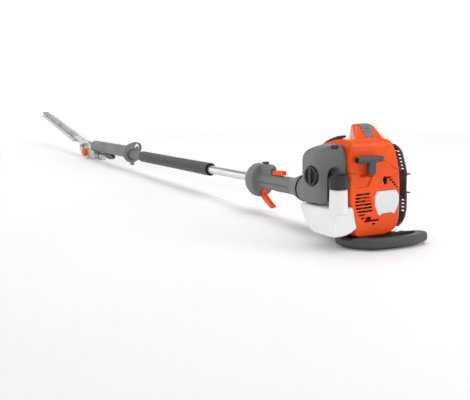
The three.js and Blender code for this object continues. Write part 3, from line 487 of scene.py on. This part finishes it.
WELD_REACH = 0.01 * MM


def shade_smooth(piece):
    for name in ("custom_normal", "sharp_edge", "sharp_face"):
        attribute = piece.data.attributes.get(name)
        if attribute is not None:
            piece.data.attributes.remove(attribute)
    for polygon in piece.data.polygons:
        polygon.use_smooth = True


def weld(piece):
    welding = piece.modifiers.new("weld", "WELD")
    welding.merge_threshold = WELD_REACH


def soften(piece, voxel, passes):
    weld(piece)
    remesh = piece.modifiers.new("even_skin", "REMESH")
    remesh.mode = "VOXEL"
    remesh.voxel_size = voxel * MM
    remesh.use_smooth_shade = True
    smooth = piece.modifiers.new("melted_edges", "SMOOTH")
    smooth.factor = 0.5
    smooth.iterations = passes


def crispen(piece):
    weld(piece)
    bevel = piece.modifiers.new("broken_edges", "BEVEL")
    bevel.width = EDGE_ROUNDING
    bevel.segments = 2
    bevel.limit_method = "ANGLE"
    bevel.angle_limit = SHARP_ANGLE
    bevel.harden_normals = True
    normals = piece.modifiers.new("even_shading", "WEIGHTED_NORMAL")
    normals.keep_sharp = True


def finish_nodes(materials):
    for name, piece in NODES.items():
        material = materials[LOOKS_LIKE.get(name, SLOT_OF[name])]
        piece.data.materials.clear()
        piece.data.materials.append(material)
        shade_smooth(piece)
        if name in SOFTENED:
            soften(piece, *SOFTENED[name])
        else:
            crispen(piece)


# ------------------------------------------------------------------ new pieces
def facing_out(vertices, faces):
    """The faces of a closed mesh, turned over if they face inwards."""
    volume = 0
    for face in faces:
        first = vertices[face[0]]
        for i, j in zip(face[1:], face[2:]):
            volume += first.dot(vertices[i].cross(vertices[j]))
    return faces if volume > 0 else [tuple(reversed(face)) for face in faces]


def new_piece(name, vertices, faces, materials, slot, node=None, body=None):
    """A piece in the row frame. It replaces a CAD node, or rides on a body beside the nodes."""
    mesh = bpy.data.meshes.new(name)
    mesh.from_pydata(vertices, [], facing_out(vertices, faces))
    mesh.validate()
    piece = bpy.data.objects.new(name, mesh)
    bpy.context.scene.collection.objects.link(piece)
    mesh.materials.append(materials[slot])
    for polygon in mesh.polygons:
        polygon.use_smooth = True
    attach(piece, BODY_OF[node] if node else body)
    if node:
        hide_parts(node)
    return piece


CORNER_STEPS = 5
# Sides of the turned pieces, from the largest to the smallest.
SLEEVE_SIDES = 96
POLE_SIDES = 72
RING_SIDES = 64
BAND_SIDES = 48


def rounded(profile, radius, steps=CORNER_STEPS):
    """Rounds the corners of a closed [along, radius] profile."""
    points = []
    count = len(profile)
    for i, here in enumerate(profile):
        corner = Vector(here)
        before = Vector(profile[i - 1]) - corner
        after = Vector(profile[(i + 1) % count]) - corner
        reach = min(radius, before.length * 0.45, after.length * 0.45)
        start = corner + before.normalized() * reach
        end = corner + after.normalized() * reach
        for k in range(steps + 1):
            t = k / steps
            points.append(start.lerp(corner, t).lerp(corner.lerp(end, t), t))
    return points


def ring_mesh(profile, sides, centre=(0, 0)):
    """Vertices and faces of a closed profile turned round a line parallel to the pole."""
    vertices = []
    for i in range(sides):
        angle = 2 * math.pi * i / sides
        for along, radius in profile:
            y = centre[0] + radius * math.cos(angle)
            z = centre[1] + radius * math.sin(angle)
            vertices.append(at(along, y, z))
    count = len(profile)
    faces = []
    for i in range(sides):
        for k in range(count):
            a, b = i * count + k, i * count + (k + 1) % count
            c, d = ((i + 1) % sides) * count + (k + 1) % count, ((i + 1) % sides) * count + k
            faces.append((a, b, c, d))
    return vertices, faces


TUBE_RADIUS = span("main_tube")[2]
TUBE_WALL = 1.5
TUBE_FIT = 0.25
TUBE_EDGE = 0.4
BORE = TUBE_RADIUS + TUBE_FIT
FOAM_EDGE = 4.5
FOAM_WAIST = 0.35
FOAM_UNEVEN = 0.04
FOAM_RIPPLES = 90
FOAM_STEPS = 120


def pole_tube(materials):
    start, end, radius = span("main_tube")
    inner = radius - TUBE_WALL
    profile = rounded([(start, inner), (start, radius), (end, radius), (end, inner)], TUBE_EDGE, 3)
    vertices, faces = ring_mesh(profile, POLE_SIDES)
    new_piece("pole_tube", vertices, faces, materials, "tube_aluminium", node="main_tube")


def plain_sleeve(name, node, materials, slot, rounding):
    """A pipe with rounded ends that fits on the pole."""
    start, end, radius = span(node)
    profile = [(start, BORE), (start, radius), (end, radius), (end, BORE)]
    vertices, faces = ring_mesh(rounded(profile, rounding), RING_SIDES)
    new_piece(name, vertices, faces, materials, slot, node=node)


def second_corner(path):
    """The rounded second corner of a path of three points."""
    count = CORNER_STEPS + 1
    return rounded(path, FOAM_EDGE)[count:2 * count]


def foam_grip(materials):
    """Foam sleeve with softly rounded ends, a faint hand-worn waist and an uneven skin."""
    start, end, radius = span("foam_grip")
    length = end - start - 2 * FOAM_EDGE
    outer = [
        (
            start + FOAM_EDGE + length * i / FOAM_STEPS,
            radius - FOAM_WAIST * math.sin(math.pi * i / FOAM_STEPS) ** 2,
        )
        for i in range(1, FOAM_STEPS)
    ]
    shoulder = 3 * FOAM_EDGE
    nose = second_corner([(start, BORE + 1), (start, radius), (start + shoulder, radius)])
    tail = second_corner([(end - shoulder, radius), (end, radius), (end, BORE + 1)])
    profile = [(start, BORE), *nose, *outer, *tail, (end, BORE)]
    vertices, faces = ring_mesh(profile, POLE_SIDES)
    for i, vertex in enumerate(vertices):
        middle = AXIS_POINT + AXIS * (vertex - AXIS_POINT).dot(AXIS)
        outward = vertex - middle
        if outward.length > (BORE + 1) * MM:
            swell = (noise.noise(vertex * FOAM_RIPPLES) - 1) * FOAM_UNEVEN * MM
            vertices[i] = vertex + outward.normalized() * swell
    grip = new_piece("foam_sleeve", vertices, faces, materials, "foam", node="foam_grip")


# Start, end, inner and outer radius of two flat rings, and the [y, z] of their centres.
FAN_SCREEN = (29, 30.5, 10, 60)
FAN_CENTRE = (-17, -12)
BARREL_BAND = (1615, 1625, 14, 15.1)
BARREL_CENTRE = (0, -33)


def washer(start, end, inner, outer):
    """Profile of a flat ring with its corners just broken."""
    return rounded([(start, inner), (start, outer), (end, outer), (end, inner)], 0.4, 2)


def fan_screen():
    """Orange disc behind the cooling slots, in front of the flywheel."""
    return ring_mesh(washer(*FAN_SCREEN), RING_SIDES, FAN_CENTRE)


def barrel_band():
    """Black band round the barrel under the gear housing."""
    return ring_mesh(washer(*BARREL_BAND), BAND_SIDES, BARREL_CENTRE)


def loft(sections):
    """Vertices and faces of a closed skin through sections that all have the same number of points."""
    count = len(sections[0])
    vertices = [point for section in sections for point in section]
    faces = [tuple(reversed(range(count)))]
    for row in range(len(sections) - 1):
        for k in range(count):
            a, b = row * count + k, row * count + (k + 1) % count
            faces.append((a, b, b + count, a + count))
    last = (len(sections) - 1) * count
    faces.append(tuple(range(last, last + count)))
    return vertices, faces


def oval(centre, side, up, half_width, half_height, points=20, squareness=0.6):
    """A rounded-box section in the plane of two directions."""
    section = []
    for i in range(points):
        angle = 2 * math.pi * i / points
        c, s = math.cos(angle), math.sin(angle)
        across = math.copysign(abs(c) ** squareness, c) * half_width
        high = math.copysign(abs(s) ** squareness, s) * half_height
        section.append(centre + side * across + up * high)
    return section


def placed(section):
    """A section given in the machine's frame, moved to where it lies."""
    return [at(*point) for point in section]


X_WAY, Y_WAY, Z_WAY = (Vector(way) for way in ((1, 0, 0), (0, 1, 0), (0, 0, 1)))
STRIP_REAR = Vector((41, 34, 131.5))
STRIP_FRONT = Vector((113, 34, 109.5))
STRIP_WIDTH = 10
STRIP_HEIGHTS = (8.4, 5.2)
STRIP_BOW = 3
STRIP_STEPS = 16


def roof_strip():
    """Black strip along the left edge of the sloping roof, thicker towards the rear."""
    up = (STRIP_FRONT - STRIP_REAR).normalized().cross(Y_WAY)
    rear_height, front_height = STRIP_HEIGHTS
    sections = []
    for i in range(STRIP_STEPS + 1):
        t = i / STRIP_STEPS
        taper = min(1, 0.25 + 3 * min(t, 1 - t)) ** 0.5
        centre = STRIP_REAR.lerp(STRIP_FRONT, t) + up * math.sin(math.pi * t) * STRIP_BOW
        height = rear_height + (front_height - rear_height) * t
        sections.append(placed(oval(centre, Y_WAY, up, STRIP_WIDTH * taper / 2, height * taper / 2)))
    return loft(sections)


# How far the end ring stands out from the foam, reaches into it and stays below its surface.
RING_OUT = 1
RING_IN = 1.5
RING_STEP = 1.5


def foam_end():
    """Black ring on the end of the foam sleeve that faces the engine."""
    start, _, radius = span("foam_grip")
    outer = radius - RING_STEP
    near, far = start - RING_OUT, start + RING_IN
    profile = rounded([(near, BORE), (near, outer), (far, outer), (far, BORE)], 1)
    return ring_mesh(profile, RING_SIDES)


BLADE = Vector(JOINTS["lower_knife_slide"]["axis"]).normalized()
BLADE_UP = BLADE.cross(Y_WAY)
BAR_REACH = 306
RIB_PLACE = Y_WAY * 7.5 + BLADE_UP * 4.6
RIB_WIDTH = 6.4
RIB_HEIGHT = 2.4
RIB_STEPS = 24


def blade_shade_rib():
    """Dark raised rib along the left edge of the guide bar; its black is painted shade, standing in for the
    shaded left side face of the bar.
    """
    low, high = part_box("guide_bar")
    middle = (low + high) / 2
    sections = []
    for i in range(RIB_STEPS + 1):
        along = BAR_REACH * (2 * i / RIB_STEPS - 1)
        taper = (1 if 0 < i < RIB_STEPS else 0.7) * MM / 2
        centre = middle + (BLADE * along + RIB_PLACE) * MM
        sections.append(oval(centre, Y_WAY, BLADE_UP, RIB_WIDTH * taper, RIB_HEIGHT * taper, 16, 0.7))
    return loft(sections)


LINER_SPAN = (49, 92)
LINER_THICKNESS = 1.2
# Linings inside the muffler guard that half cover its slots, as [y, z] points.
LINER_PATHS = {
    "shield_liner_upper": [(-139.5, 46), (-136, 60), (-130, 76), (-124, 91)],
    "shield_liner_lower": [(-141, -54), (-141.8, -44), (-141.8, -30), (-141.8, -16)],
}


def sheet_along(path):
    """A thin strip of sheet that follows [y, z] points."""
    start, end = LINER_SPAN
    sections = []
    for i, (y, z) in enumerate(path):
        before, after = path[max(i - 1, 0)], path[min(i + 1, len(path) - 1)]
        run = Vector((0, after[0] - before[0], after[1] - before[1])).normalized()
        inward = run.cross(X_WAY) * LINER_THICKNESS
        near, far = Vector((start, y, z)), Vector((end, y, z))
        sections.append(placed([near, far, far + inward, near + inward]))
    return loft(sections)


# Outlines of two stubby pieces that lie across the machine: [y, radius] along a line at an x and z.
NOTCH_SHADE_LINE = (23, 113)
NOTCH_SHADE_OUTLINE = [(69, 2.94), (70.5, 4.2), (77, 4.2), (83.5, 4.2), (85, 2.94)]
HOLE_SHADE_LINE = (-13, 87)
HOLE_SHADE_OUTLINE = [(44, 5.6), (49.2, 5.6), (49.9, 4.8)]


def crosswise(line, outline, points=20, squareness=0.6):
    """A stubby piece across the machine, with the outline's radii."""
    x, z = line
    sections = []
    for y, radius in outline:
        section = oval(Vector((x, y, z)), X_WAY, Z_WAY, radius, radius, points, squareness)
        sections.append(placed(section))
    return loft(sections)


def filter_notch_shade():
    """Black block at the top edge of the filter cover, standing in for the shade in a notch there: painted
    shade.
    """
    return crosswise(NOTCH_SHADE_LINE, NOTCH_SHADE_OUTLINE)


def handle_hole_shade():
    """Black disc in the hollow left end of the starter handle, standing in for the shade deep in the hole:
    painted shade.
    """
    return crosswise(HOLE_SHADE_LINE, HOLE_SHADE_OUTLINE, 24, 1)


SLEEVE_ROUNDING = 3


def lifted_sleeve(name, node, materials, slot):
    """A sleeve whose bore fits the pole while its outside sits higher, as the CAD node's does."""
    start, end, radius = span(node)
    low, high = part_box(node)
    lift = (MACHINE.inverted() @ ((low + high) / 2)).z / MM
    profile = rounded([(start, BORE), (start, radius), (end, radius), (end, BORE)], SLEEVE_ROUNDING)
    vertices, faces = ring_mesh(profile, SLEEVE_SIDES)
    raised = MACHINE.to_3x3() @ Vector((0, 0, lift)) * MM
    for i, vertex in enumerate(vertices):
        share = (profile[i % len(profile)][1] - BORE) / (radius - BORE)
        vertices[i] = vertex + raised * share
    new_piece(name, vertices, faces, materials, slot, node=node)


def make_pieces(materials):
    pole_tube(materials)
    foam_grip(materials)
    plain_sleeve("ring_seal", "cover_ring", materials, "rubber", 1.2)
    plain_sleeve("spacer_sleeve", "spacer_tube", materials, "grey_plastic", 0.8)
    lifted_sleeve("sleeve_skin", "pole_sleeve", materials, "grey_plastic")
    # Name, skin, material slot and body of each piece that rides beside the CAD nodes.
    beside = [
        ("fan_screen", fan_screen(), "orange_plastic", "machine"),
        ("barrel_band", barrel_band(), "rubber", "machine"),
        ("roof_strip", roof_strip(), "black_plastic", "machine"),
        # The black rib on the blade is painted shade of the bar's left side face.
        ("blade_shade_rib", blade_shade_rib(), "black_plastic", BODY_OF["guide_bar"]),
        # The black disc in the handle's end is painted shade of the deep hole.
        ("handle_hole_shade", handle_hole_shade(), "rubber", BODY_OF["starter_handle"]),
        # The black block on the filter cover is painted shade of a notch in its top edge.
        ("filter_notch_shade", filter_notch_shade(), "black_plastic", "machine"),
        *((name, sheet_along(path), "dark_plastic", "machine") for name, path in LINER_PATHS.items()),
        ("foam_end", foam_end(), "rubber", "machine"),
    ]
    for name, skin, slot, body in beside:
        new_piece(name, *skin, materials, slot, body=body)


make_camera()
make_stage()
make_light()
MATERIALS = make_materials()
finish_nodes(MATERIALS)
make_pieces(MATERIALS)
